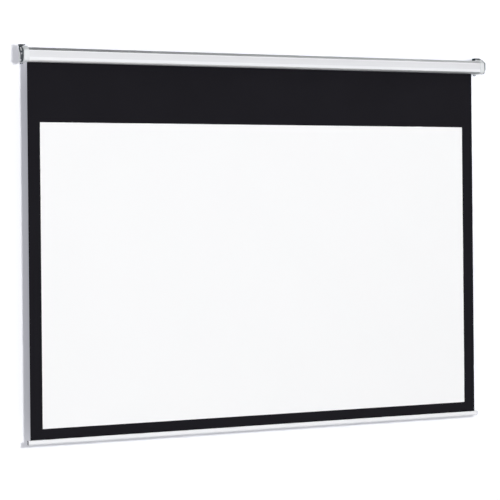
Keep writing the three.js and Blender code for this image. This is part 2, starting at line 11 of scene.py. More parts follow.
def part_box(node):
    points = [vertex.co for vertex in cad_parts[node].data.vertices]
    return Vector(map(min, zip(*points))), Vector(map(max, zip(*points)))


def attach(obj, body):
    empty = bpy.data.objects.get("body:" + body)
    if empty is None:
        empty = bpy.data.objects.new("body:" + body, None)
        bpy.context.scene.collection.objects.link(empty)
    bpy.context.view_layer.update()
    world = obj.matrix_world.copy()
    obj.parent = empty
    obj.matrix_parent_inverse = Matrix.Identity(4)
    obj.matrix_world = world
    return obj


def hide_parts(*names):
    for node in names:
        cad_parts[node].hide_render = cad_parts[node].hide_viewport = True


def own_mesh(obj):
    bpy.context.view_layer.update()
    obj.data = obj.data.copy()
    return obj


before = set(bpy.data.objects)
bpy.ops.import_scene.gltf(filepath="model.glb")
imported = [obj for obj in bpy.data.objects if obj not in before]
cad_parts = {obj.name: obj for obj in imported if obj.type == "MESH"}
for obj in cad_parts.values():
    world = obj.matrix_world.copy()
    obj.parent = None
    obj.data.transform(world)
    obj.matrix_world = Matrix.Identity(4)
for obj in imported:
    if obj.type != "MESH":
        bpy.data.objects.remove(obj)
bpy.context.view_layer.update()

bl_info = {
    "name": "Projection Screen",
    "version": (1, 0, 0),
    "blender": (4, 5, 0),
    "location": "View3D > Sidebar > Screen",
    "description": "Builds the looks of an electric roll-up projection screen around its packed model",
    "category": "Object",
}

mm = 0.001
WELD = 0.002 * mm
X, Y, Z = range(3)
SIDES = {"left": -1, "right": 1}
PORTS = ("front_top", "front_bottom", "back_top")
LEVELS = ("upper", "lower")
DIE_LINES = (0.4, 900, 900)
THREAD_SHARE = 0.62
SHANK_SHARE = 0.57


def length(name, description, default):
    """A size in metres that a user may change"""
    return FloatProperty(name=name, description=description, default=default, unit="LENGTH", precision=5)


def number(name, description, default):
    """A plain number that a user may change"""
    return FloatProperty(name=name, description=description, default=default, precision=3)


def lean(name, description, degrees):
    """An angle that a user may change"""
    return FloatProperty(name=name, description=description, default=math.radians(degrees), subtype="ANGLE")


def spot(name, description, default):
    """A place in the frame that a user may change"""
    return FloatVectorProperty(
        name=name, description=description, default=default, subtype="XYZ", unit="LENGTH", precision=5,
    )


def tone(name, description, default):
    """A colour that a user may change"""
    return FloatVectorProperty(
        name=name, description=description, default=default, subtype="COLOR", min=0, max=1,
    )


class ScreenSizes(bpy.types.PropertyGroup):
    """Sizes of the housing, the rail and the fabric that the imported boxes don't tell"""

    wall: length("Casing wall", "Thickness of the casing extrusion", 1.6 * mm)
    shoulder_depth: length("Shoulder depth", "Depth of the slope above the front", 26 * mm)
    shoulder_drop: length("Shoulder drop", "Height of the slope above the front", 12 * mm)
    sill_depth: length("Sill depth", "Depth of the slope below the front", 10 * mm)
    sill_rise: length("Sill rise", "Height of the slope below the front", 4 * mm)
    shoulder_radius: length("Shoulder radius", "Edge between front and shoulder", 2 * mm)
    sill_radius: length("Sill radius", "Edges of the lower slope", 4 * mm)
    ridge_radius: length("Ridge radius", "Edge between shoulder and top", 3 * mm)
    back_radius: length("Back radius", "Upper back edge", 2.5 * mm)
    foot_radius: length("Foot radius", "Lower end of the back wall", 0.5 * mm)
    panel_recess: length("Panel recess", "Depth of the plain panel in the front", 0.3 * mm)
    slot_room: length("Slot room", "Room in front of the fabric in the slot", 8 * mm)
    lip_height: length("Lip height", "Height of the lip along the slot", 4 * mm)
    cap_back_rise: length("Cap back rise", "Height of the cap's back over the casing", 1.2 * mm)
    cap_end_wall: length("Cap end wall", "Thickness of an end cap's face", 3 * mm)
    cap_rim_radius: length("Cap rim radius", "Rounding round the cap's face", 6.5 * mm)
    cap_front_radius: length("Cap front radius", "Rounding of the cap's front edges", 8 * mm)
    cap_ridge_radius: length("Cap ridge radius", "Rounding of the cap's slopes", 12 * mm)
    cap_back_radius: length("Cap back radius", "Rounding of the cap's back edges", 4 * mm)
    sheet: length("Bracket sheet", "Thickness of the folded bracket", 2 * mm)
    bracket_edge: length("Bracket edge", "Softened edge of the bracket sheet", 0.15 * mm)
    bracket_inset: length("Bracket inset", "Arm's distance inside the cap's outline", 2 * mm)
    bracket_rim: length("Bracket rim", "Rim of the arm above its window", 3.2 * mm)
    strut: length("Strut", "Width of the bracket arm's strut", 7.5 * mm)
    strut_top: length("Strut top", "Strut's top from the wall", 8 * mm)
    strut_knee_depth: length("Strut knee depth", "Strut's bend from the wall", 16 * mm)
    strut_knee_height: length("Strut knee height", "Strut's bend over the axis", 18 * mm)
    strut_foot_depth: length("Strut foot depth", "Arm's lower back edge from the wall", 33 * mm)
    strut_foot_height: length("Strut foot height", "Where the strut meets the arm", 4 * mm)
    front_bar: length("Front bar", "Width of the bar in front of the window", 18 * mm)
    chin: length("Bracket chin", "Drop of the arm's front edge below the axis", 12 * mm)
    top_reach: length("Top leg reach", "Depth of the bracket's top leg", 22 * mm)
    tongue: length("Tongue", "Width of the bracket's lower tongue", 11 * mm)
    tongue_radius: length("Tongue radius", "Rounding of the tongue's corners", 2.5 * mm)
    tongue_overlap: length("Tongue overlap", "Height of the tongue on the wall leg", 5 * mm)
    wall_hole: length("Wall hole", "Radius of the holes for the wall screws", 2.2 * mm)
    wall_hole_spread: length("Wall hole spread", "Between the wall leg's holes", 9 * mm)
    wall_hole_height: length("Wall hole height", "Height of the wall leg's holes", 20 * mm)
    wall_hole_drop: length("Wall hole drop", "Tongue's hole over the tongue's end", 3.3 * mm)
    top_hole_spread: length("Top hole spread", "Between the top leg's holes", 10 * mm)
    bracket_bend: length("Bracket bend", "Outer radius of the upper fold", 3 * mm)
    rail_top_radius: length("Rail top radius", "Upper edges of the bottom rail", 2 * mm)
    rail_foot_radius: length("Rail foot radius", "Lower edges of the bottom rail", 7.4 * mm)
    rail_side: length("Rail side", "Side wall beside the rail's hollow", 3.9 * mm)
    rail_floor: length("Rail floor", "Wall below the rail's hollow", 2.3 * mm)
    rail_slot: length("Rail slot", "Width of the slot that the fabric enters", 1.8 * mm)
    ripple: length("Ripple", "Height of the fabric's slight unevenness", 0.2 * mm)
    spare_turns: IntProperty(name="Spare turns", description="Turns of fabric left on the roller", default=2)


class ScreenColours(bpy.types.PropertyGroup):
    """Colours of the finishes"""

    white_coat: tone("White coat", "Powder coat of the casing", (0.748, 0.753, 0.772))
    rail_coat: tone("Rail coat", "Powder coat of the bottom rail", (0.89, 0.895, 0.915))
    # Painted highlight: the bands above and below the front panel are coloured brighter than the coat, in
    # place of the gleam on the curved edges
    painted_highlight_band: tone("Bright band", "Smooth bands along the front", (0.86, 0.865, 0.885))
    # Painted shade: the slope above the front is coloured grey, darker at the idle end and paler at the
    # motor end, in place of the shade that falls on it
    painted_shade_shoulder_idle: tone("Shoulder, idle end", "Slope above the front", (0.225, 0.235, 0.24))
    painted_shade_shoulder_motor: tone("Shoulder, motor end", "Slope above the front", (0.68, 0.69, 0.70))
    # Painted light: the slope below the front is coloured pale at the idle end and darker at the motor end,
    # in place of the light that falls on it from below
    painted_light_sill_idle: tone("Sill, idle end", "Slope below the front", (0.95, 0.95, 0.95))
    painted_light_sill_motor: tone("Sill, motor end", "Slope below the front", (0.42, 0.43, 0.44))
    cap_plastic: tone("Cap plastic", "Moulded end caps", (0.765, 0.785, 0.795))
    slate_coat: tone("Slate coat", "Painted steel brackets", (0.022, 0.034, 0.041))
    slate_worn: tone("Slate edge", "Edges where the paint is thin", (0.055, 0.075, 0.086))
    zinc: tone("Zinc", "Plated screws, plates and pins", (0.56, 0.58, 0.60))
    aluminium: tone("Aluminium", "Mill finish of the roller tube", (0.60, 0.61, 0.63))
    black_fabric: tone("Black fabric", "Opaque backing and borders", (0.0097, 0.0091, 0.0120))
    white_fabric: tone("White fabric", "Viewing surface", (0.955, 0.955, 0.96))
    grey_plastic: tone("Grey plastic", "Plugs of the bottom rail", (0.26, 0.265, 0.29))
    dark_plastic: tone("Dark plastic", "Motor head, wheels and plugs inside", (0.022, 0.024, 0.027))
    brass: tone("Brass", "Bush and limit screws", (0.62, 0.42, 0.15))


class StageSettings(bpy.types.PropertyGroup):
    """Camera, lights and surroundings"""

    lens: FloatProperty(name="Lens", description="Focal length in millimetres", default=124.26)
    yaw: lean("Yaw", "Camera's turn to the right", 24.458)
    roll: lean("Roll", "Camera's lean", 0.537)
    drop_shift: number("Vertical shift", "Share of the frame that the view is shifted by", -0.0872)
    camera: spot("Camera", "Camera's place", (-2.9777, -6.4233, -0.5921))
    backdrop_gap: length("Backdrop gap", "Distance of the backdrop behind the fabric", 0.091)
    floor_drop: length("Floor drop", "Height of the roller's axis above the floor", 2.3)
    key: number("Key light", "Strength of the lamp in front of the fabric", 22.8)
    key_radius: length("Key radius", "Radius of the lamp in front", 0.24)
    key_place: spot("Key place", "Place of the lamp in front", (-1.05, -5.37, -0.27))
    side: number("Side light", "Strength of the soft lamp above the motor end", 20.0)
    side_radius: length("Side radius", "Radius of the upper lamp", 0.5)
    side_place: spot("Side place", "Place of the upper lamp", (2.2, -1.0, 1.5))
    fill_base: number("Fill", "Even light from everywhere", 0.06)
    fill_front: number("Front fill", "Soft light from in front", 0.36)
    fill_back: number("Back fill", "Soft light from behind", 0.60)
    fill_below: number("Low fill", "Soft light from below", 0.25)
    fill_idle: number("Idle side fill", "Soft light from the idle end", 0.34)
    backdrop_glow: number("Backdrop glow", "What the backdrop shows beside the light on it", 0.185)
    floor_glow: number("Floor glow", "What the floor shows beside the light on it", 0.72)


def corner(node, side):
    """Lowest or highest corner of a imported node"""
    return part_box(node)[side]


def span(node, way):
    """Inner and outer end of a node along the casing"""
    low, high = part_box(node)
    return (low.x, high.x) if way > 0 else (high.x, low.x)


def middle_of(node):
    """Depth and height of a node's middle, with half its height as a radius"""
    low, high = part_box(node)
    return (low.y + high.y) / 2, (low.z + high.z) / 2, (high.z - low.z) / 2


def inset(corners, distance):
    """Moves each side of a clockwise convex outline of depth, height and radius inwards"""
    lines = []
    for (y, z, _), (next_y, next_z, _) in zip(corners, corners[1:] + corners[:1]):
        along = Vector((next_y - y, next_z - z)).normalized()
        lines.append((Vector((y, z)) + Vector((along.y, -along.x)) * distance, along))
    moved = []
    smallest = 0.2 * mm
    for i, (_, _, radius) in enumerate(corners):
        (start, before), (other, after) = lines[i - 1], lines[i]
        reach = (other - start).cross(after) / before.cross(after)
        moved.append((*(start + before * reach), max(radius - distance, smallest)))
    return moved


def rounded(corners, steps=10):
    """Outline through corners of depth, height and radius, with an arc at each"""
    points = []
    for i, (y, z, radius) in enumerate(corners):
        point = Vector((y, z))
        if not radius:
            points.append(point)
            continue
        back = (Vector(corners[i - 1][:2]) - point).normalized()
        ahead = (Vector(corners[(i + 1) % len(corners)][:2]) - point).normalized()
        half = back.angle(ahead) / 2
        centre = point + (back + ahead).normalized() * (radius / math.sin(half))
        arm = point + back * (radius / math.tan(half)) - centre
        sweep = math.copysign(math.pi - 2 * half, (-back).cross(ahead))
        points += [centre + Matrix.Rotation(sweep * k / steps, 2) @ arm for k in range(steps + 1)]
    return points


def place_object(name, data):
    """Object of some data, linked to the scene"""
    item = bpy.data.objects.new(name, data)
    bpy.context.scene.collection.objects.link(item)
    return item


def solid(name, bm):
    """Object of a closed mesh whose faces point outwards"""
    bmesh.ops.remove_doubles(bm, verts=bm.verts, dist=WELD)
    bmesh.ops.recalc_face_normals(bm, faces=bm.faces)
    mesh = bpy.data.meshes.new(name)
    bm.to_mesh(mesh)
    bm.free()
    return place_object(name, mesh)


def loft(name, rings):
    """Solid through rings that share their number of points"""
    bm = bmesh.new()
    rows = [[bm.verts.new(point) for point in points] for points in rings]
    bm.faces.new(rows[0])
    bm.faces.new(rows[-1])
    for row, following in zip(rows, rows[1:]):
        for i in range(len(row)):
            bm.faces.new((row[i - 1], row[i], following[i], following[i - 1]))
    return solid(name, bm)


def ring(outline, along, axis=X):
    """Flat outline stood at a place along an axis"""
    return [(*point[:axis], along, *point[axis:]) for point in outline]


def prism(name, outline, start, end, axis=X):
    """Solid with one section between two places along an axis"""
    return loft(name, [ring(outline, start, axis), ring(outline, end, axis)])


def bar(start, end, first, second, radius, axis=X, steps=32):
    """Round bar along an axis, about a line through the other two coordinates"""
    turns = [2 * math.pi * k / steps for k in range(steps)]
    outline = [(first + radius * math.cos(a), second + radius * math.sin(a)) for a in turns]
    return prism("bar", outline, start, end, axis)


def domed(name, corners, inner, outer, radius, steps=8):
    """Block of a section whose outer rim is rounded"""
    way = math.copysign(1, outer - inner)
    rings = [ring(rounded(corners), inner)]
    for k in range(steps + 1):
        angle = math.pi / 2 * k / steps
        outline = rounded(inset(corners, radius * (1 - math.cos(angle))))
        rings.append(ring(outline, outer - way * radius * (1 - math.sin(angle))))
    return loft(name, rings)


def modify(piece, kind, **settings):
    """Gives an object a modifier with some settings"""
    modifier = piece.modifiers.new(kind.lower(), kind)
    for name, value in settings.items():
        setattr(modifier, name, value)
    return modifier


def settle(piece):
    """Applies an object's modifiers to its mesh"""
    graph = bpy.context.evaluated_depsgraph_get()
    mesh = bpy.data.meshes.new_from_object(piece.evaluated_get(graph))
    piece.modifiers.clear()
    piece.data = mesh
    return piece


def shape(piece, operation, *tools):
    """Joins, cuts or crosses a solid with others"""
    for tool in tools:
        modify(piece, "BOOLEAN", operation=operation, solver="EXACT", object=tool)
    settle(piece)
    for tool in tools:
        bpy.data.objects.remove(tool)
    return piece


def simplify(piece):
    """Merges doubled points and dissolves the seams inside a solid's flat faces"""
    bm = bmesh.new()
    bm.from_mesh(piece.data)
    bmesh.ops.remove_doubles(bm, verts=bm.verts, dist=WELD)
    bmesh.ops.dissolve_limit(bm, angle_limit=math.radians(0.5), verts=bm.verts, edges=bm.edges)
    bm.to_mesh(piece.data)
    bm.free()


def smooth(piece, angle=math.radians(28)):
    """Shades a mesh smooth except across its sharp edges"""
    piece.data.shade_smooth()
    piece.data.set_sharp_from_angle(angle=angle)
    return piece


def lay_out(piece, rule):
    """Gives a cloth its own map in metres, by a rule for each point's place"""
    cloth = piece.data.uv_layers.new(name="cloth")
    for loop in piece.data.loops:
        cloth.data[loop.index].uv = rule(piece.data.vertices[loop.vertex_index].co)


def dress(piece, body, slot, nodes, *looks):
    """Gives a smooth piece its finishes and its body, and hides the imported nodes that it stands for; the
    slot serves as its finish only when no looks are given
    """
    piece.data.materials.clear()
    for look in looks or (slot,):
        piece.data.materials.append(finishes()[look])
    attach(piece, body)
    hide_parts(*nodes)


class Nodes:
    """Short calls that build one node tree"""

    def __init__(self, tree):
        self.tree = tree
        tree.nodes.clear()

    def node(self, kind, inputs=None, **settings):
        """Adds a node and sets or links its inputs"""
        node = self.tree.nodes.new(kind)
        for name, value in settings.items():
            setattr(node, name, value)
        for key, value in (inputs or {}).items():
            if isinstance(value, bpy.types.NodeSocket):
                self.tree.links.new(value, node.inputs[key])
            else:
                node.inputs[key].default_value = value
        return node

    def add(self, kind, inputs=None, output=0, **settings):
        """Adds a node and gives one of its outputs"""
        return self.node(kind, inputs, **settings).outputs[output]

    def math(self, operation, *values):
        """One sum of up to three values"""
        return self.add("ShaderNodeMath", dict(enumerate(values)), operation=operation)

    def vector_math(self, operation, *values, output=0):
        """One sum of vectors"""
        return self.add("ShaderNodeVectorMath", dict(enumerate(values)), output, operation=operation)

    def axes(self, vector):
        """Three parts of a vector"""
        return self.node("ShaderNodeSeparateXYZ", {0: vector}).outputs

    def vector(self, x=0.0, y=0.0, z=0.0):
        """Vector of three values"""
        return self.add("ShaderNodeCombineXYZ", {0: x, 1: y, 2: z})


def nodes_of(owner):
    """Empty node tree of a material, a lamp or a world"""
    owner.use_nodes = True
    return Nodes(owner.node_tree)


class Paint(Nodes):
    """Node tree of a material that is laid out by the piece's own coordinates"""

    def __init__(self, name, kind="ShaderNodeTexCoord", output="Object", **settings):
        self.material = bpy.data.materials.new(name)
        self.material.use_nodes = True
        super().__init__(self.material.node_tree)
        self.place = self.add(kind, output=output, **settings)

    def noise(self, scale, detail=2, stretch=None):
        """Cloudy pattern, drawn out where its coordinates are stretched"""
        vector = self.place
        if stretch:
            vector = self.add("ShaderNodeMapping", {"Vector": vector, "Scale": stretch})
        return self.add("ShaderNodeTexNoise", {"Vector": vector, "Scale": scale, "Detail": detail})

    def spread(self, value, low, high, start=0.25, end=0.75):
        """Maps a pattern to a range"""
        inputs = {"Value": value, "From Min": start, "From Max": end, "To Min": low, "To Max": high}
        return self.add("ShaderNodeMapRange", inputs)

    def mix(self, factor, first, second):
        """Mix of two colours"""
        return self.add("ShaderNodeMix", {0: factor, 6: first, 7: second}, 2, data_type="RGBA")

    def varied(self, colour, amount, scale, detail=3):
        """Colour that drifts a little over the piece"""
        cloud = self.spread(self.noise(scale, detail), 0, 1)
        return self.mix(cloud, scaled(colour, 1 - amount), scaled(colour, 1 + amount))

    def relief(self, height, depth, strength, normal=None):
        """Bump of a real depth"""
        inputs = {"Height": height, "Distance": depth, "Strength": strength}
        if normal:
            inputs["Normal"] = normal
        return self.add("ShaderNodeBump", inputs)

    def surface(self, colour, rough, normal, **constants):
        """Main shader with its constants on its own sockets, and the finished material"""
        inputs = {"Base Color": colour, "Roughness": rough, "Normal": normal}
        inputs.update({key.replace("_", " "): value for key, value in constants.items()})
        shader = self.add("ShaderNodeBsdfPrincipled", inputs)
        self.node("ShaderNodeOutputMaterial", {"Surface": shader})
        return self.material


def scaled(colour, factor=1):
    """Opaque colour, made lighter or darker"""
    return (*(min(part * factor, 1) for part in colour), 1)


def powder_coat(name, colour, drift=(0.012, 6), line_depth=0.01 * mm, line_strength=0.5, band=None):
    """Satin powder coat with orange peel and faint die lines, and optional painted highlight bands on the
    front
    """
    paint = Paint(name)
    base = paint.varied(colour, *drift)
    if band:
        base = paint.mix(painted_highlight_mask(paint), base, scaled(band))
    lines = paint.relief(paint.noise(1, 2, DIE_LINES), line_depth, line_strength)
    peel = paint.relief(paint.noise(650), 0.02 * mm, 0.6, lines)
    rough = paint.spread(paint.noise(30, 4), 0.36, 0.46)
    return paint.surface(base, rough, peel, Specular_IOR_Level=0.35, Coat_Weight=0.05, Coat_Roughness=0.3)


def painted_highlight_mask(paint, edge=0.4 * mm):
    """Mask of the painted highlights: 1 above and below the plain panel, on the casing's front half"""
    _, depth, height = paint.axes(paint.place)
    low, high = front_panel()
    above = paint.spread(height, 0, 1, high - edge, high + edge)
    below = paint.spread(height, 1, 0, low - edge, low + edge)
    front = paint.math("LESS_THAN", depth, middle_of("casing")[0])
    return paint.math("MULTIPLY", paint.math("MAXIMUM", above, below), front)


def painted_light_and_shade_ramp(name, idle_end, motor_end):
    """Satin coat with painted light and shade: its tone drifts from the idle end to the motor end, in place
    of how the light falls along the casing
    """
    paint = Paint(name)
    reach = corner("casing", 1).x
    drift = paint.spread(paint.noise(2.5), -0.03, 0.03)
    share = paint.math("ADD", paint.spread(paint.axes(paint.place)[X], 0, 1, -reach, reach), drift)
    lines = paint.noise(1, 2, DIE_LINES)
    base = paint.mix(share, scaled(idle_end), scaled(motor_end))
    rough = paint.spread(lines, 0.42, 0.52)
    return paint.surface(base, rough, paint.relief(lines, 0.012 * mm, 0.6), Specular_IOR_Level=0.15)


def grained(name, colour, rough, drift, gloss, grain, specular):
    """Skin with a fine grain: colour drift, change of gloss and grain each say how much and how fine"""
    paint = Paint(name)
    change, gloss_scale = gloss
    grain_depth, grain_scale, strength = grain
    skin = paint.relief(paint.noise(grain_scale, 3), grain_depth, strength)
    rough = paint.spread(paint.noise(gloss_scale, 3), rough - change, rough + change)
    return paint.surface(paint.varied(colour, *drift), rough, skin, Specular_IOR_Level=specular)


def moulded(name, colour, rough=0.45, grain=0.03 * mm, specular=0.4):
    """Moulded plastic with a fine eroded grain"""
    return grained(name, colour, rough, (0.02, 25), (0.06, 120), (grain, 1800, 0.5), specular)


def painted_steel(name, colour, rough):
    """Painted sheet steel with a fine pebbled skin"""
    return grained(name, colour, rough, (0.12, 60), (0.07, 90), (0.05 * mm, 1100, 0.6), 0.14)


def plated(name, colour, rough, streak=(300, 300, 300), amount=0.08):
    """Bare or plated metal with fine drawn or brushed lines"""
    paint = Paint(name)
    lines = paint.noise(1, 4, streak)
    rough = paint.spread(lines, rough - 0.08, rough + 0.1)
    return paint.surface(
        paint.varied(colour, amount, 140), rough, paint.relief(lines, 0.015 * mm, 0.7), Metallic=1.0,
    )


def woven(name, colour, rough, amount, specular, sheen, weave=0.45 * mm, depth=0.05 * mm):
    """Coated glass-fibre cloth: crossed threads under a matt skin, laid out by the cloth's own map"""
    paint = Paint(name, "ShaderNodeUVMap", 0, uv_map="cloth")
    wave = {"Vector": paint.place, "Scale": 1 / (weave * 20), "Distortion": 0.15, "Detail": 1.0}
    threads = [paint.add("ShaderNodeTexWave", wave, 1, bands_direction=way) for way in ("X", "Y")]
    grid = paint.math("MAXIMUM", *threads)
    fine = paint.noise(900, 3)
    base = paint.varied(colour, amount, 4, 4)
    base = paint.mix(paint.spread(grid, 0.25, 0, 0, 1), base, scaled(colour, 1 - amount))
    return paint.surface(
        base,
        paint.spread(fine, rough - 0.05, rough + 0.05),
        paint.relief(grid, depth, 0.5, paint.relief(fine, 0.02 * mm, 0.4)),
        Specular_IOR_Level=specular, Sheen_Weight=sheen, Sheen_Roughness=0.5,
    )


@functools.cache
def finishes():
    """Every finish of the object, made once"""
    tones = bpy.context.scene.screen_colours
    return {
        "rail_coat": powder_coat("rail_powder_coat", tones.rail_coat),
        # The casing's coat carries painted highlight bands above and below its panel
        "casing_coat": powder_coat(
            "casing_coat_painted_highlight", tones.white_coat, (0.015, 5), 0.012 * mm, 0.6, tones.painted_highlight_band,
        ),
        # Painted shade on the shoulder and painted light on the sill, each ramped along the casing
        "shoulder": painted_light_and_shade_ramp("painted_shade_shoulder_coat", tones.painted_shade_shoulder_idle, tones.painted_shade_shoulder_motor),
        "sill": painted_light_and_shade_ramp("painted_light_sill_coat", tones.painted_light_sill_idle, tones.painted_light_sill_motor),
        "cap_plastic": moulded("moulded_cap_plastic", tones.cap_plastic, 0.4),
        "slate_steel": painted_steel("slate_painted_steel", tones.slate_coat, 0.5),
        "slate_edge": painted_steel("worn_slate_edge", tones.slate_worn, 0.42),
        "zinc_steel": plated("zinc_plated_steel", tones.zinc, 0.32),
        "raw_aluminium": plated("mill_aluminium", tones.aluminium, 0.36, (2, 1200, 1200), 0.04),
        "black_fabric": woven("black_coated_weave", tones.black_fabric, 0.9, 0.10, 0.08, 0.02),
        "white_fabric": woven("white_coated_weave", tones.white_fabric, 0.92, 0.006, 0.12, 0.0),
        "grey_plastic": moulded("grey_moulded_plastic", tones.grey_plastic),
        "dark_plastic": moulded("dark_moulded_plastic", tones.dark_plastic, 0.5, 0.04 * mm, 0.3),
        "brass": plated("turned_brass", tones.brass, 0.3, (1500, 60, 60)),
    }


def casing_corners():
    """Corners of the casing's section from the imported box, clockwise from the lower front"""
    sizes = bpy.context.scene.screen_sizes
    low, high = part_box("casing")
    return [
        (low.y, low.z + sizes.sill_rise, sizes.sill_radius),
        (low.y, high.z - sizes.shoulder_drop, sizes.shoulder_radius),
        (low.y + sizes.shoulder_depth, high.z, sizes.ridge_radius),
        (high.y, high.z, sizes.back_radius),
        (high.y, low.z, sizes.back_radius),
        (low.y + sizes.sill_depth, low.z, sizes.sill_radius),
    ]


def front_panel(low_share=0.30, high_share=0.90):
    """Lower and upper edge of the plain panel on the casing's front"""
    bottom, top = [height for _, height, _ in casing_corners()[:2]]
    return bottom + low_share * (top - bottom), bottom + high_share * (top - bottom)


def casing_outline():
    """Section of the casing with its wall, its slot and the lip beside it"""
    sizes = bpy.context.scene.screen_sizes
    outer = casing_corners()
    inner = inset(outer, sizes.wall)
    front, back, bottom = outer[0][0], outer[3][0], outer[4][1]
    slot = corner("viewing_surface", 0).y - sizes.slot_room
    lip_top, edge = bottom + sizes.lip_height, sizes.foot_radius
    low, high = front_panel()
    step = sizes.panel_recess
    return [
        outer[0],
        (front, low, 0), (front + step, low + step, 0), (front + step, high - step, 0), (front, high, 0),
        *outer[1:4],
        (back, bottom, edge), (back - sizes.wall, bottom, edge),
        *inner[3::-1], inner[5],
        (slot - sizes.wall, bottom + sizes.wall, 0), (slot - sizes.wall, lip_top, edge),
        (slot, lip_top, edge), (slot, bottom, edge),
        outer[5],
    ]


class SCREEN_OT_casing(bpy.types.Operator):
    """Builds the casing extrusion with its slot, lip and screw ports"""

    bl_idname = "screen.casing"
    bl_label = "Casing"

    def execute(self, context):
        sizes = context.scene.screen_sizes
        low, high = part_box("casing")
        start, end, over = low.x, high.x, sizes.wall
        core_share, port_wall = 0.6, 0.6 * mm
        ports = [middle_of(f"left_cap_screw_{where}") for where in PORTS]
        piece = prism("casing_shell", rounded(casing_outline()), start, end)
        shape(piece, "UNION", *[bar(start, end, y, z, head + port_wall) for y, z, head in ports])
        bores = [bar(start - over, end + over, y, z, head * core_share) for y, z, head in ports]
        smooth(shape(piece, "DIFFERENCE", *bores))
        dress(piece, "housing", "white_coat", ["casing"], "casing_coat", "shoulder", "sill")
        ridge, edge = low.y + sizes.shoulder_depth, high.z - sizes.shoulder_drop
        sill = low.z + 1.1 * sizes.sill_rise
        # Faces of the upper slope get the painted shade, faces of the lower slope the painted light
        for face in piece.data.polygons:
            place, way = face.center, face.normal
            if low.y < place.y < ridge and place.z > edge and way.z > 0.5 and way.y < -0.1:
                face.material_index = 1
            if place.z < sill and way.z < -0.3:
                face.material_index = 2
        return {"FINISHED"}


def cap_corners(side):
    """Corners of an end cap's section, clockwise from the lower front"""
    sizes = bpy.context.scene.screen_sizes
    low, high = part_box(f"{side}_end_cap")
    casing = casing_corners()
    proud = casing[0][0] - low.y
    return [
        (low.y, casing[0][1] - proud / 2, sizes.cap_front_radius),
        (low.y, casing[1][1] + proud / 2, sizes.cap_front_radius),
        (casing[2][0] - proud, high.z, sizes.cap_ridge_radius),
        (high.y, casing[3][1] + sizes.cap_back_rise, sizes.cap_back_radius),
        (high.y, low.z, sizes.cap_back_radius),
        (casing[5][0], low.z, sizes.cap_ridge_radius),
    ]


class SCREEN_OT_end_caps(bpy.types.Operator):
    """Builds the two moulded end caps and the cable inlet"""

    bl_idname = "screen.end_caps"
    bl_label = "End caps"

    def execute(self, context):
        for side, way in SIDES.items():
            self.cap(context.scene.screen_sizes, side, way)
        self.inlet()
        return {"FINISHED"}

    @staticmethod
    def cap(sizes, side, way):
        """Hollow cap with bosses inside and seats for its screws"""
        inner, outer = span(f"{side}_end_cap", way)
        over, spare = way * sizes.cap_end_wall, way * sizes.wall
        face, past, boss_end = outer - over, outer + over, outer - over / 2
        boss_start, boss_wall, seat_depth, play = 2.6 * mm, 1.7 * mm, 2.3 * mm, 0.3 * mm
        access_share, flange_width = 1.6, 2.7 * mm
        corners = cap_corners(side)
        piece = prism(f"{side}_cap", rounded(inset(corners, -sizes.wall)), inner - spare, outer + spare)
        envelope = domed("envelope", corners, inner, outer, sizes.cap_rim_radius)
        room = prism("room", rounded(inset(casing_corners(), sizes.wall)), inner - over, face)
        shape(piece, "DIFFERENCE", room)
        seats, bosses, holes = [], [], []
        for where in PORTS:
            screw = f"{side}_cap_screw_{where}"
            y, z, head = middle_of(screw)
            seat = span(screw, way)[1] - way * seat_depth
            bosses.append(bar(inner + way * boss_start, boss_end, y, z, head + boss_wall))
            holes.append(bar(inner - over, past, y, z, THREAD_SHARE * head))
            seats.append(bar(seat, past, y, z, head + play))
        for level in LEVELS:
            y, z, head = middle_of(f"{side}_bracket_screw_{level}")
            bosses.append(bar(face - 3 * over, boss_end, y, z, head + play))
            holes.append(bar(inner - over, past, y, z, SHANK_SHARE * head))
        if side == "right":
            for where in ("up", "down"):
                y, z, stem = middle_of(f"limit_screw_{where}")
                holes.append(bar(face - over, past, y, z, access_share * stem))
            y, z, flange = middle_of("cable_inlet")
            holes.append(bar(face - over, past, y, z, flange - flange_width))
        shape(piece, "UNION", *bosses)
        shape(piece, "INTERSECT", envelope)
        smooth(shape(piece, "DIFFERENCE", *holes, *seats))
        dress(piece, "housing", "cap_plastic", [f"{side}_end_cap"])

    @staticmethod
    def inlet(steps=48):
        """Turned grommet with a softened flange and a funnelled bore"""
        y, z, flange = middle_of("cable_inlet")
        low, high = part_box("cable_inlet")
        bore, neck = flange - 4.8 * mm, flange - 3 * mm
        face, edge = high.x - 2 * mm, 0.6 * mm
        profile = [
            (low.x, bore), (low.x, neck - edge), (low.x + edge, neck), (face, neck), (face, flange - edge),
            (face + edge, flange), (high.x - edge, flange), (high.x, flange - edge),
            (high.x, bore + 2 * edge), (high.x - edge, bore + edge), (high.x - 3 * edge, bore),
        ]
        bm = bmesh.new()
        rows = []
        for k in range(steps):
            turn = Matrix.Rotation(2 * math.pi * k / steps, 2) @ Vector((1, 0))
            rows.append([bm.verts.new((x, y + r * turn.x, z + r * turn.y)) for x, r in profile])
        for k in range(steps):
            for i in range(len(profile)):
                bm.faces.new((rows[k - 1][i - 1], rows[k - 1][i], rows[k][i], rows[k][i - 1]))
        dress(smooth(solid("inlet_grommet", bm)), "housing", "dark_plastic", ["cable_inlet"])


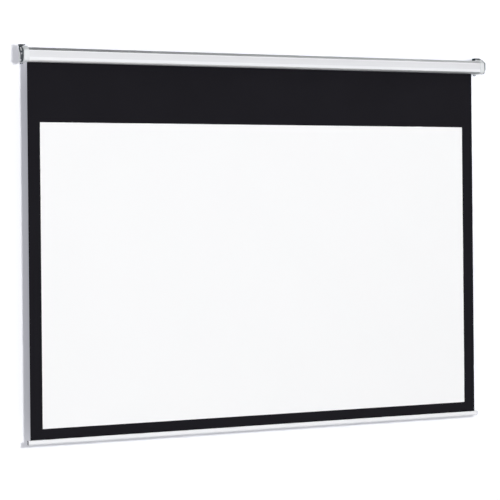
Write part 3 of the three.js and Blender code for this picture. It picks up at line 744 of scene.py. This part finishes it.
class SCREEN_OT_brackets(bpy.types.Operator):
    """Folds the two painted steel brackets"""

    bl_idname = "screen.brackets"
    bl_label = "Brackets"

    def execute(self, context):
        for side, way in SIDES.items():
            self.bracket(context.scene.screen_sizes, side, way)
        return {"FINISHED"}

    def bracket(self, sizes, side, way, steps=6):
        """Arm, bent top and wall leg with its tongue as one sheet, cut for the screws"""
        low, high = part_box(f"{side}_bracket")
        inner, outer = span(f"{side}_bracket", way)
        over = way * sizes.sheet
        middle = (inner + outer - over) / 2
        edge = middle + way * sizes.tongue / 2
        casing_low = corner("casing", 0).z
        arm_corners, window_corners = self.arm(sizes, side)
        piece = prism(f"{side}_arm", rounded(arm_corners, steps), outer - over, outer)
        window = prism("window", rounded(window_corners, steps), outer - 2 * over, outer + over)
        shape(piece, "DIFFERENCE", window)
        fold = prism("fold", rounded(self.fold(sizes, high), steps), inner, outer)
        plates = []
        for x0, x1, z0, z1, radius in (
            (inner, edge, casing_low, high.z - sizes.bracket_bend, 0),
            (edge - way * sizes.tongue, edge, low.z, casing_low + sizes.tongue_overlap, sizes.tongue_radius),
        ):
            x0, x1 = sorted((x0, x1))
            outline = rounded([(x0, z0, radius), (x0, z1, 0), (x1, z1, 0), (x1, z0, radius)], steps)
            plates.append(prism("plate", outline, -sizes.sheet, 0, Y))
        simplify(shape(piece, "UNION", fold, *plates))
        simplify(shape(piece, "DIFFERENCE", *self.holes(sizes, side, way, middle, (inner + edge) / 2)))
        modify(
            piece, "BEVEL", width=sizes.bracket_edge, segments=2, limit_method="ANGLE",
            angle_limit=math.radians(40), use_clamp_overlap=False,
        )
        for vertex in settle(piece).data.vertices:
            vertex.co.z = min(vertex.co.z, high.z)
        smooth(piece)
        modify(piece, "WEIGHTED_NORMAL", keep_sharp=True)
        dress(settle(piece), "housing", "slate_steel", [f"{side}_bracket"], "slate_steel", "slate_edge")
        small, flat = 4e-6, 0.97
        for face in piece.data.polygons:
            if face.area < small and max(abs(part) for part in face.normal) < flat:
                face.material_index = 1

    @staticmethod
    def arm(sizes, side):
        """Outlines of the arm, from its lower front, and of the window between strut and front bar"""
        front_low, front_high, ridge, _, _, foot = inset(cap_corners(side), sizes.bracket_inset)
        top, bottom = corner(f"{side}_bracket", 1).z, corner(f"{side}_end_cap", 0).z
        strut, rim = sizes.strut, sizes.bracket_rim
        knee_depth, knee_height = sizes.strut_knee_depth, sizes.strut_knee_height
        foot_depth, foot_height = sizes.strut_foot_depth, sizes.strut_foot_height
        wide, soft, small, tight, pane = 8 * mm, 5 * mm, 3 * mm, 2 * mm, 1.5 * mm
        outline = [
            (front_low[0], -sizes.chin, soft),
            (*front_high[:2], soft),
            (*ridge[:2], wide),
            (-sizes.top_reach, top, small),
            (0, top, sizes.bracket_bend),
            (0, top - rim, 0),
            (-sizes.strut_top, top - rim, tight),
            (-knee_depth, knee_height, soft),
            (-foot_depth, foot_height, soft),
            (-foot_depth, bottom, small),
            (foot[0], bottom, wide),
        ]
        window = [
            (-foot_depth - strut, foot_height + strut / 2, pane),
            (front_high[0] + sizes.front_bar, front_high[1], pane),
            (ridge[0] + rim / 2, ridge[1] - rim, pane),
            (-sizes.strut_top - 1.5 * strut, top - 1.2 * rim, pane),
            (-knee_depth - 1.5 * strut, knee_height, pane),
        ]
        return outline, window

    @staticmethod
    def fold(sizes, high):
        """Section of the top leg and of the rim along the wall in one bent sheet"""
        under, rim = high.z - sizes.sheet, high.z - sizes.bracket_rim
        return [
            (-sizes.sheet, rim, 0),
            (-sizes.sheet, under, sizes.bracket_bend - sizes.sheet),
            (-sizes.top_reach, under, 0),
            (-sizes.top_reach, high.z, 0),
            (0, high.z, sizes.bracket_bend),
            (0, rim, 0),
        ]

    @staticmethod
    def holes(sizes, side, way, middle, leg):
        """Cutters for the wall, top and cap screws"""
        low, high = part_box(f"{side}_bracket")
        outer = span(f"{side}_bracket", way)[1]
        radius, cut = sizes.wall_hole, sizes.sheet
        spread = sizes.wall_hole_spread / 2
        places = [(x, sizes.wall_hole_height) for x in (leg - spread, leg + spread)]
        places.append((middle, low.z + sizes.wall_hole_drop))
        tools = [bar(-2 * cut, cut, x, z, radius, Y) for x, z in places]
        for sign in (-1, 1):
            y = (-sizes.top_reach + sign * sizes.top_hole_spread) / 2
            tools.append(bar(high.z - 2 * cut, high.z + cut, middle, y, radius, Z))
        for level in LEVELS:
            y, z, head = middle_of(f"{side}_bracket_screw_{level}")
            tools.append(bar(outer - way * 2 * cut, outer + way * cut, y, z, SHANK_SHARE * head))
        return tools


class SCREEN_OT_bottom_rail(bpy.types.Operator):
    """Builds the bottom rail with its plugs"""

    bl_idname = "screen.bottom_rail"
    bl_label = "Bottom rail"

    def execute(self, context):
        sizes = context.scene.screen_sizes
        low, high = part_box("bottom_rail")
        corners = [
            (low.y, low.z, sizes.rail_foot_radius),
            (low.y, high.z, sizes.rail_top_radius),
            (high.y, high.z, sizes.rail_top_radius),
            (high.y, low.z, sizes.rail_foot_radius),
        ]
        outline = rounded([*corners[:2], *self.pocket(sizes, high.z), *corners[2:]], 8)
        piece = prism("rail_bar", outline, low.x, high.x)
        chamber = prism("chamber", self.chamber(sizes), low.x - sizes.wall, high.x + sizes.wall)
        smooth(shape(piece, "DIFFERENCE", chamber))
        dress(piece, "curtain", "white_coat", ["bottom_rail"], "rail_coat")
        play, gap, tongue_length, dome = 0.3 * mm, 0.1 * mm, 16 * mm, 1.8 * mm
        for side, way in SIDES.items():
            end = span("bottom_rail", way)[1]
            inner, outer = end + way * gap, span(f"{side}_rail_plug", way)[1]
            plug = domed(f"{side}_plug", corners, inner, outer, dome)
            start = end - way * tongue_length
            tongue = prism("tongue", self.chamber(sizes, play), start, (inner + outer) / 2)
            smooth(shape(plug, "UNION", tongue))
            dress(plug, "curtain", "grey_plastic", [f"{side}_rail_plug"])
        return {"FINISHED"}

    @staticmethod
    def chamber(sizes, gap=0.0):
        """Section of the hollow that the plugs enter, drawn in by a gap"""
        low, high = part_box("bottom_rail")
        front, back = low.y + sizes.rail_side + gap, high.y - sizes.rail_side - gap
        roof = 2.1 * mm
        top, bottom = corner("hem_rod", 0).z - roof - gap, low.z + sizes.rail_floor + gap
        return [(front, bottom), (front, top), (back, top), (back, bottom)]

    @staticmethod
    def pocket(sizes, top, steps=24, play=0.6 * mm):
        """Slot in the rail's top and the round pocket for the hem rod below it"""
        y, z, rod_radius = middle_of("hem_rod")
        radius, half = rod_radius + play, sizes.rail_slot / 2
        opening = math.asin(half / radius)
        arc = []
        for k in range(steps + 1):
            angle = math.pi / 2 + opening + (2 * math.pi - 2 * opening) * k / steps
            arc.append((y + radius * math.cos(angle), z + radius * math.sin(angle), 0))
        return [(y - half, top, 0), *arc, (y + half, top, 0)]


def ripple_at(x, z, height):
    """Slight unevenness of the hanging cloth, in depth: a slow wave and a quicker, lower one"""
    slow = math.sin(2.1 * x + 0.6) * math.sin(1.7 * z + 0.4)
    quick = math.sin(7.3 * x + 2.2) * math.sin(1.3 * z)
    return height * (0.7 * slow + 0.3 * quick)


def cloth_sheet(name, node, shift, columns=80, rows=60):
    """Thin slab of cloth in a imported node's place, its back drawn in by a shift, with its map in metres"""
    ripple = bpy.context.scene.screen_sizes.ripple
    low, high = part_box(node)
    bm = bmesh.new()
    points = {}
    for side, y in enumerate((low.y, high.y - shift)):
        for r in range(rows + 1):
            z = low.z + (high.z - low.z) * r / rows
            for c in range(columns + 1):
                x = low.x + (high.x - low.x) * c / columns
                points[side, r, c] = bm.verts.new((x, y + ripple_at(x, z, ripple), z))
    up, across, through = (0, 1, 0), (0, 0, 1), (1, 0, 0)
    faces = [((side, r, c), across, up) for side in (0, 1) for r in range(rows) for c in range(columns)]
    faces += [((0, r, c), up, through) for r in range(rows) for c in (0, columns)]
    faces += [((0, r, c), across, through) for r in (0, rows) for c in range(columns)]
    for start, first, second in faces:
        far = [tuple(map(sum, zip(start, *steps))) for steps in ((), (first,), (first, second), (second,))]
        bm.faces.new([points[key] for key in far])
    piece = smooth(solid(name, bm))
    lay_out(piece, lambda place: (place.x, place.z))
    return piece


class SCREEN_OT_fabric(bpy.types.Operator):
    """Hangs the black backing and the white viewing surface"""

    bl_idname = "screen.fabric"
    bl_label = "Fabric"

    def execute(self, context):
        backing_top, casing_top = corner("fabric_backing", 1).z, corner("casing", 1).z
        below_top, thinner = 9 * mm, 0.02 * mm
        roller_and_rod = ["roller_tube", "hem_rod"]
        self.hang("black_backing", "fabric_backing", "black_fabric", 0, backing_top, "hung", roller_and_rod)
        self.hang(
            "white_surface", "viewing_surface", "white_fabric", thinner, casing_top - below_top,
            "stretched", ["black_backing"],
        )
        return {"FINISHED"}

    @staticmethod
    def hang(name, node, slot, shift, stored, held, rests_on):
        """Cloth in an imported node's place, with its finish and its body; it does not shorten, and the
        stored height is not used
        """
        piece = cloth_sheet(name, node, shift)
        dress(piece, "curtain", slot, [node])
        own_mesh(piece)


def new_tree(name, inputs):
    """Geometry tree with named inputs, and the sockets that give their values"""
    tree = bpy.data.node_groups.new(name, "GeometryNodeTree")
    add_socket = tree.interface.new_socket
    add_socket("Geometry", in_out="INPUT", socket_type="NodeSocketGeometry")
    for label, default in inputs.items():
        add_socket(label, in_out="INPUT", socket_type="NodeSocketFloat").default_value = default
    add_socket("Material", in_out="INPUT", socket_type="NodeSocketMaterial")
    add_socket("Geometry", in_out="OUTPUT", socket_type="NodeSocketGeometry")
    nodes = Nodes(tree)
    return nodes, nodes.node("NodeGroupInput").outputs


def end_tree(nodes, geometry, given):
    """Ends a tree in real instances with the given material"""
    real = nodes.add("GeometryNodeRealizeInstances", {"Geometry": geometry})
    coloured = nodes.add("GeometryNodeSetMaterial", {"Geometry": real, "Material": given["Material"]})
    nodes.node("NodeGroupOutput", {"Geometry": coloured})
    return nodes.tree


def run_tree(piece, tree, values):
    """Runs a geometry tree on an object with inputs set by their identifiers, and keeps the plain mesh"""
    modifier = modify(piece, "NODES", node_group=tree)
    for item in tree.interface.items_tree:
        if item.in_out == "INPUT" and item.name in values:
            modifier[item.identifier] = values[item.name]
    return smooth(settle(piece))


def points_object(name, places, ways):
    """Object of loose points, each with the direction that its screw faces"""
    mesh = bpy.data.meshes.new(name)
    mesh.from_pydata(places, [], [])
    facing = mesh.attributes.new("facing", "FLOAT_VECTOR", "POINT")
    for item, way in zip(facing.data, ways):
        item.vector = (way, 0, 0)
    return place_object(name, mesh)


def domed_head(nodes, given, swell=0.6):
    """Pan head: a short bar whose top swells by the height of an ellipse"""
    radius, height = given["Head radius"], given["Head height"]
    inputs = {"Vertices": 40, "Side Segments": 1, "Fill Segments": 8, "Radius": radius, "Depth": height}
    disc = nodes.add("GeometryNodeMeshCylinder", inputs, fill_type="TRIANGLE_FAN")
    place = nodes.add("GeometryNodeInputPosition")
    flat = nodes.vector_math("MULTIPLY", place, (1, 1, 0))
    share = nodes.math("DIVIDE", nodes.vector_math("LENGTH", flat, output="Value"), radius)
    rest = nodes.math("SUBTRACT", 1.0, nodes.math("POWER", share, 2.0))
    ellipse = nodes.math("SQRT", nodes.math("MAXIMUM", rest, 0.0))
    rise = nodes.math("MULTIPLY", nodes.math("MULTIPLY_ADD", ellipse, swell, 1 - swell), height)
    on_top = nodes.math("GREATER_THAN", nodes.axes(place)[Z], 0.0)
    moved = nodes.vector_math("ADD", flat, nodes.vector(z=nodes.math("MULTIPLY", on_top, rise)))
    return nodes.add("GeometryNodeSetPosition", {"Geometry": disc, "Position": moved})


def screw_tree():
    """Pan-head screws with a cross recess, one on each point, facing along its attribute"""
    nodes, given = new_tree("pan_head_screws", {
        "Head radius": 3 * mm, "Head height": 2 * mm, "Shank radius": 1.6 * mm, "Shank length": 18 * mm,
        "Recess reach": 3.4 * mm, "Recess width": 0.7 * mm, "Recess depth": 1.2 * mm,
    })
    shank_length, link = given["Shank length"], nodes.tree.links.new
    inputs = {"Vertices": 24, "Radius": given["Shank radius"], "Depth": shank_length}
    shank = nodes.add("GeometryNodeMeshCylinder", inputs)
    drop = nodes.vector(z=nodes.math("MULTIPLY", shank_length, -0.49))
    shank = nodes.add("GeometryNodeTransform", {"Geometry": shank, "Translation": drop})
    whole = nodes.node("GeometryNodeMeshBoolean", operation="UNION", solver="EXACT")
    link(domed_head(nodes, given), whole.inputs["Mesh"])
    link(shank, whole.inputs["Mesh"])
    recess = nodes.node("GeometryNodeMeshBoolean", operation="DIFFERENCE", solver="EXACT")
    recess.inputs["Self Intersection"].default_value = True
    link(whole.outputs[0], recess.inputs["Mesh 1"])
    for x, y in (("Recess reach", "Recess width"), ("Recess width", "Recess reach")):
        size = nodes.vector(given[x], given[y], nodes.math("MULTIPLY", given["Recess depth"], 2.0))
        cutter = nodes.add("GeometryNodeMeshCube", {"Size": size})
        up = {"Geometry": cutter, "Translation": nodes.vector(z=given["Head height"])}
        link(nodes.add("GeometryNodeTransform", up), recess.inputs["Mesh 2"])
    facing = nodes.add("GeometryNodeInputNamedAttribute", {"Name": "facing"}, data_type="FLOAT_VECTOR")
    turn = nodes.add("FunctionNodeAlignRotationToVector", {"Vector": facing}, axis="Z")
    placed = nodes.add("GeometryNodeInstanceOnPoints", {
        "Points": given["Geometry"], "Instance": recess.outputs[0], "Rotation": turn,
    })
    return end_tree(nodes, placed, given)


class SCREEN_OT_screws(bpy.types.Operator):
    """Sets the pan-head screws of caps, brackets and motor"""

    bl_idname = "screen.screws"
    bl_label = "Screws"

    def execute(self, context):
        tree = screw_tree()
        sides = SIDES.items()
        caps = [(f"{side}_cap_screw_{where}", way) for side, way in sides for where in PORTS]
        arms = [(f"{side}_bracket_screw_{level}", way) for side, way in sides for level in LEVELS]
        motor = [(f"motor_screw_{k}", SIDES["right"]) for k in (1, 2)]
        self.family(tree, "cap_screws", caps, 2 * mm, 1.6 * mm)
        self.family(tree, "bracket_screws", arms, 2.4 * mm, 2 * mm)
        self.family(tree, "motor_screws", motor, 1.8 * mm, 1.5 * mm)
        return {"FINISHED"}

    @staticmethod
    def family(tree, name, members, head_height, shank):
        """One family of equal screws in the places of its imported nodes"""
        places = []
        for node, way in members:
            y, z, head = middle_of(node)
            inner, outer = span(node, way)
            places.append((outer - way * head_height, y, z))
        piece = points_object(name, places, [way for _, way in members])
        run_tree(piece, tree, {
            "Head radius": head, "Head height": head_height, "Shank radius": shank,
            "Shank length": abs(outer - inner) - head_height, "Recess reach": 1.2 * head,
            "Recess width": 0.26 * head, "Recess depth": 0.55 * head_height,
            "Material": finishes()["zinc_steel"],
        })
        dress(piece, "housing", "zinc_steel", [node for node, _ in members])


def winding_tree():
    """Sheet wound in a spiral about X"""
    nodes, given = new_tree("fabric_winding", {
        "Turns": 2.0, "Inner radius": 19.4 * mm, "Outer radius": 20.1 * mm, "Thickness": 0.3 * mm,
        "Width": 2.0, "Depth": 0.0,
    })
    spiral = nodes.add("GeometryNodeCurveSpiral", {
        "Resolution": 96, "Rotations": given["Turns"], "Start Radius": given["Inner radius"],
        "End Radius": given["Outer radius"], "Height": 0.0, "Reverse": False,
    })
    section = {"Width": given["Thickness"], "Height": given["Width"]}
    strip = nodes.add("GeometryNodeCurvePrimitiveQuadrilateral", section)
    inputs = {"Curve": spiral, "Profile Curve": strip, "Fill Caps": True}
    wound = nodes.add("GeometryNodeCurveToMesh", inputs)
    place = nodes.vector(y=given["Depth"])
    inputs = {"Geometry": wound, "Rotation": (0.0, math.pi / 2, 0.0), "Translation": place}
    return end_tree(nodes, nodes.add("GeometryNodeTransform", inputs), given)


class SCREEN_OT_fabric_roll(bpy.types.Operator):
    """Winds the spare turns of fabric on the roller"""

    bl_idname = "screen.fabric_roll"
    bl_label = "Fabric roll"

    def execute(self, context):
        turns = context.scene.screen_sizes.spare_turns
        low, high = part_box("fabric_roll")
        y, _, outer = middle_of("fabric_roll")
        thickness = 0.28 * mm
        first, last = middle_of("roller_tube")[2] + thickness, outer - thickness
        width = high.x - low.x
        piece = points_object("wound_fabric", [(0, 0, 0)], [1])
        run_tree(piece, winding_tree(), {
            "Turns": float(turns), "Inner radius": first, "Outer radius": last, "Thickness": thickness,
            "Width": width, "Depth": y, "Material": finishes()["black_fabric"],
        })
        lay_out(piece, lambda place: (place.x, outer * math.atan2(place.z, place.y - y)))
        dress(piece, "roller", "black_fabric", ["fabric_roll"])
        return {"FINISHED"}


class SCREEN_OT_inner_finishes(bpy.types.Operator):
    """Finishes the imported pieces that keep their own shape"""

    bl_idname = "screen.inner_finishes"
    bl_label = "Inner finishes"

    def execute(self, context):
        kept = {
            "dark_plastic": ("motor_head", "idle_plug", "drive_wheel", "motor_crown"),
            "zinc_steel": (
                "motor_body", "idle_pin", "drive_shaft", "hem_rod",
                "left_support_plate", "right_support_plate",
            ),
            "raw_aluminium": ("roller_tube",),
            "brass": ("idle_bush", "limit_screw_up", "limit_screw_down"),
        }
        for finish, nodes in kept.items():
            for node in nodes:
                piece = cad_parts[node]
                piece.data.materials.clear()
                piece.data.materials.append(finishes()[finish])
        return {"FINISHED"}


def camera_sees(nodes):
    """Share that is 1 for what the camera, a gloss or a clear material sees"""
    path = nodes.node("ShaderNodeLightPath").outputs
    seen = nodes.math("MAXIMUM", path["Is Camera Ray"], path["Is Glossy Ray"])
    return nodes.math("MAXIMUM", seen, path["Is Transmission Ray"])


class SCREEN_OT_stage(bpy.types.Operator):
    """Sets the backdrop, floor, lamps, surrounding light and camera"""

    bl_idname = "screen.stage"
    bl_label = "Stage"

    def execute(self, context):
        stage = context.scene.screen_stage
        wall = corner("fabric_backing", 0).y + stage.backdrop_gap
        ground, top, reach, floor_reach = -stage.floor_drop, 4.0, 6.0, 14.0
        upright = [(-reach, wall, ground), (reach, wall, ground), (reach, wall, top), (-reach, wall, top)]
        level = [(x * floor_reach, y * floor_reach, ground) for x, y in ((-1, -1), (1, -1), (1, 1), (-1, 1))]
        self.sheet("backdrop", upright, (0.92, 0.925, 0.94), stage.backdrop_glow)
        self.sheet("floor", level, (0.85, 0.85, 0.85), stage.floor_glow)
        self.even_out(self.lamp("key_lamp", stage.key_place, stage.key_radius, stage.key))
        self.lamp("side_lamp", stage.side_place, stage.side_radius, stage.side)
        context.scene.world = self.surroundings(stage)
        context.scene.camera = self.camera(stage)
        context.scene.view_settings.view_transform = "Standard"
        return {"FINISHED"}

    @staticmethod
    def sheet(name, corners, paint, glow):
        """Sheet that shows shadows on its front but throws no light of its own on the object"""
        material = bpy.data.materials.new(f"{name}_paint")
        nodes = nodes_of(material)
        lit = nodes.add("ShaderNodeBsdfDiffuse", {"Color": scaled(paint)})
        bluish = (1, 1.02, 1.2, 1)
        shine = nodes.add("ShaderNodeEmission", {"Color": bluish, "Strength": glow})
        shown = nodes.add("ShaderNodeAddShader", {0: lit, 1: shine})
        behind = nodes.add("ShaderNodeNewGeometry", output="Backfacing")
        seen = nodes.math("SUBTRACT", camera_sees(nodes), behind)
        clear = nodes.add("ShaderNodeBsdfTransparent")
        mixed = nodes.add("ShaderNodeMixShader", {0: seen, 1: clear, 2: shown})
        nodes.node("ShaderNodeOutputMaterial", {"Surface": mixed})
        mesh = bpy.data.meshes.new(name)
        mesh.from_pydata(corners, [], [(0, 1, 2, 3)])
        mesh.materials.append(material)
        place_object(name, mesh)

    @staticmethod
    def lamp(name, place, radius, strength):
        """Round lamp, and its light"""
        light = bpy.data.lights.new(name, "POINT")
        light.shadow_soft_size = radius
        light.energy = strength
        place_object(name, light).location = place
        return light

    @staticmethod
    def even_out(light):
        """Lets a lamp keep its strength with distance"""
        nodes = nodes_of(light)
        falloff = nodes.add("ShaderNodeLightFalloff", {"Strength": 1.0}, "Constant")
        shine = nodes.add("ShaderNodeEmission", {"Strength": falloff})
        nodes.node("ShaderNodeOutputLight", {"Surface": shine})

    @staticmethod
    def surroundings(stage):
        """World that fills softly from four sides, and is white to the camera"""
        world = bpy.data.worlds.new("studio")
        nodes = nodes_of(world)
        parts = nodes.axes(nodes.add("ShaderNodeTexCoord", output="Generated"))
        total = stage.fill_base
        for part, sign, amount in (
            (Y, -1, stage.fill_front), (Y, 1, stage.fill_back),
            (Z, -1, stage.fill_below), (X, -1, stage.fill_idle),
        ):
            share = nodes.math("MAXIMUM", nodes.math("MULTIPLY", parts[part], sign), 0.0)
            total = nodes.math("ADD", nodes.math("MULTIPLY", share, amount), total)
        cool, white = (0.985, 0.99, 1.0, 1), (1, 1, 1, 1)
        light = nodes.add("ShaderNodeBackground", {"Color": cool, "Strength": total})
        shown = nodes.add("ShaderNodeBackground", {"Color": white, "Strength": 1.0})
        mixed = nodes.add("ShaderNodeMixShader", {0: camera_sees(nodes), 1: light, 2: shown})
        nodes.node("ShaderNodeOutputWorld", {"Surface": mixed})
        return world

    @staticmethod
    def camera(stage):
        """Camera that is turned, leant and shifted"""
        data = bpy.data.cameras.new("view")
        data.lens = stage.lens
        data.sensor_width = 36
        data.shift_y = stage.drop_shift
        data.clip_end = 100
        ahead = Vector((math.sin(stage.yaw), math.cos(stage.yaw), 0))
        right = Vector((math.cos(stage.yaw), -math.sin(stage.yaw), 0))
        up = Vector((0, 0, 1))
        lean_right = right * math.cos(stage.roll) - up * math.sin(stage.roll)
        lean_up = up * math.cos(stage.roll) + right * math.sin(stage.roll)
        turn = Matrix((lean_right, lean_up, -ahead)).transposed().to_4x4()
        camera = place_object("view", data)
        camera.matrix_world = Matrix.Translation(stage.camera) @ turn
        return camera


OPERATORS = (
    SCREEN_OT_casing,
    SCREEN_OT_end_caps,
    SCREEN_OT_brackets,
    SCREEN_OT_bottom_rail,
    SCREEN_OT_fabric,
    SCREEN_OT_fabric_roll,
    SCREEN_OT_screws,
    SCREEN_OT_inner_finishes,
    SCREEN_OT_stage,
)
GROUPS = {
    "screen_sizes": ScreenSizes,
    "screen_colours": ScreenColours,
    "screen_stage": StageSettings,
}


class SCREEN_PT_panel(bpy.types.Panel):
    """Lists the sizes, the colours and the operators"""

    bl_idname = "SCREEN_PT_panel"
    bl_label = "Projection screen"
    bl_space_type = "VIEW_3D"
    bl_region_type = "UI"
    bl_category = "Screen"

    def draw(self, context):
        for key, kind in GROUPS.items():
            box = self.layout.box()
            box.label(text=key.removeprefix("screen_").capitalize())
            for name in kind.__annotations__:
                box.prop(getattr(context.scene, key), name)
        for operator in OPERATORS:
            self.layout.operator(operator.bl_idname)


def register():
    """Registers the classes and hangs the property groups on the scene"""
    for name, group in GROUPS.items():
        bpy.utils.register_class(group)
        setattr(bpy.types.Scene, name, PointerProperty(type=group))
    for kind in (*OPERATORS, SCREEN_PT_panel):
        bpy.utils.register_class(kind)


def unregister():
    """Removes everything that register added"""
    for kind in (SCREEN_PT_panel, *reversed(OPERATORS)):
        bpy.utils.unregister_class(kind)
    for name, group in reversed(GROUPS.items()):
        delattr(bpy.types.Scene, name)
        bpy.utils.unregister_class(group)


def main():
    """Builds the whole screen"""
    register()
    bpy.ops.screen.casing()
    bpy.ops.screen.end_caps()
    bpy.ops.screen.brackets()
    bpy.ops.screen.bottom_rail()
    bpy.ops.screen.fabric()
    bpy.ops.screen.fabric_roll()
    bpy.ops.screen.screws()
    bpy.ops.screen.inner_finishes()
    bpy.ops.screen.stage()


if __name__ == "__main__":
    main()
